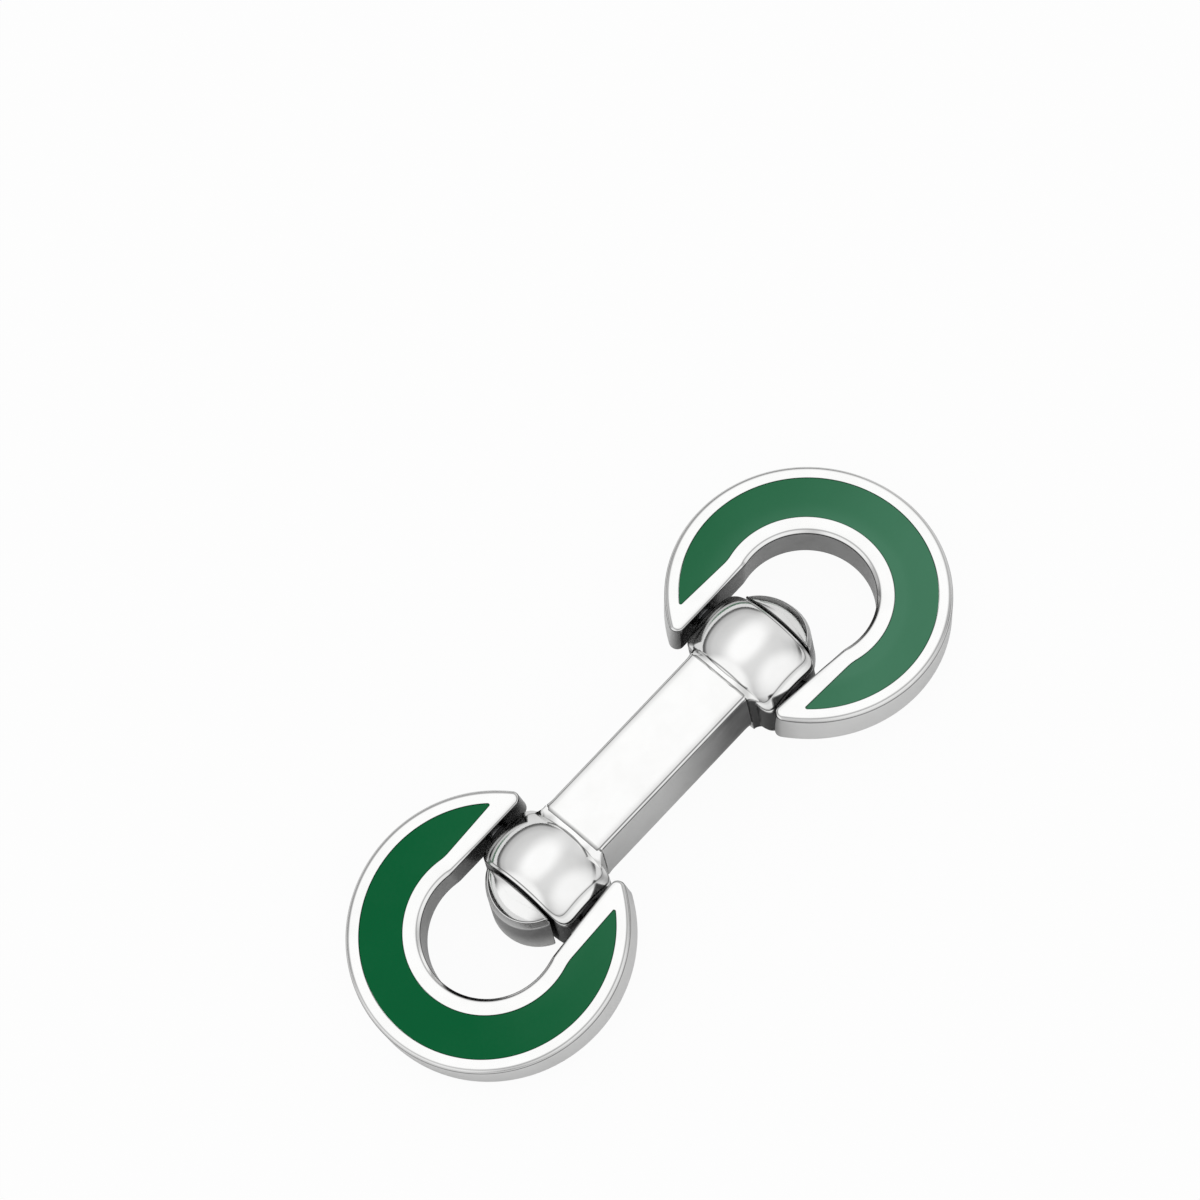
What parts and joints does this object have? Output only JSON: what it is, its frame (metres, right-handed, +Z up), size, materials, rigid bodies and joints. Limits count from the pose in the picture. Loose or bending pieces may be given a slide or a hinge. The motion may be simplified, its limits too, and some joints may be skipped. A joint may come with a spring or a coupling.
{
  "type": "double-ended cufflink",
  "caption": "Cufflink with a square bar between domed hubs, and an enamelled horseshoe ring hinged on each hub so that it folds to pass a buttonhole.",
  "frame": {"origin": "under the middle of the bar, on the surface that the hubs and rings rest on", "axes": "+X along the bar towards end b, +Y along the hinge pins, +Z up, out of the enamelled faces"},
  "size_m": [0.039, 0.0148, 0.0052],
  "materials": {
    "polished_metal": "polished",
    "inner_steel": "satin",
    "green_enamel": "gloss"
  },
  "bodies": {
    "body": {"bar": "polished_metal", "hub_a": "polished_metal", "hub_b": "polished_metal", "end_cap_a": "polished_metal", "end_cap_b": "polished_metal", "friction_plunger_a": "inner_steel", "friction_plunger_b": "inner_steel", "friction_spring_a": "inner_steel", "friction_spring_b": "inner_steel"},
    "ring_a": {"ring_frame_a": "polished_metal", "enamel_a": "green_enamel", "hinge_pin_a": "inner_steel"},
    "ring_b": {"ring_frame_b": "polished_metal", "enamel_b": "green_enamel", "hinge_pin_b": "inner_steel"}
  },
  "joints": [
    {"name": "hinge_a", "type": "hinge", "parent": "body", "child": "ring_a", "pos_m": [-0.00785, 0, 0.0027], "axis": [0, 1, 0], "range_deg": [-118, 134]},
    {"name": "hinge_b", "type": "hinge", "parent": "body", "child": "ring_b", "pos_m": [0.00785, 0, 0.0027], "axis": [0, 1, 0], "range_deg": [-134, 118]}
  ]
}
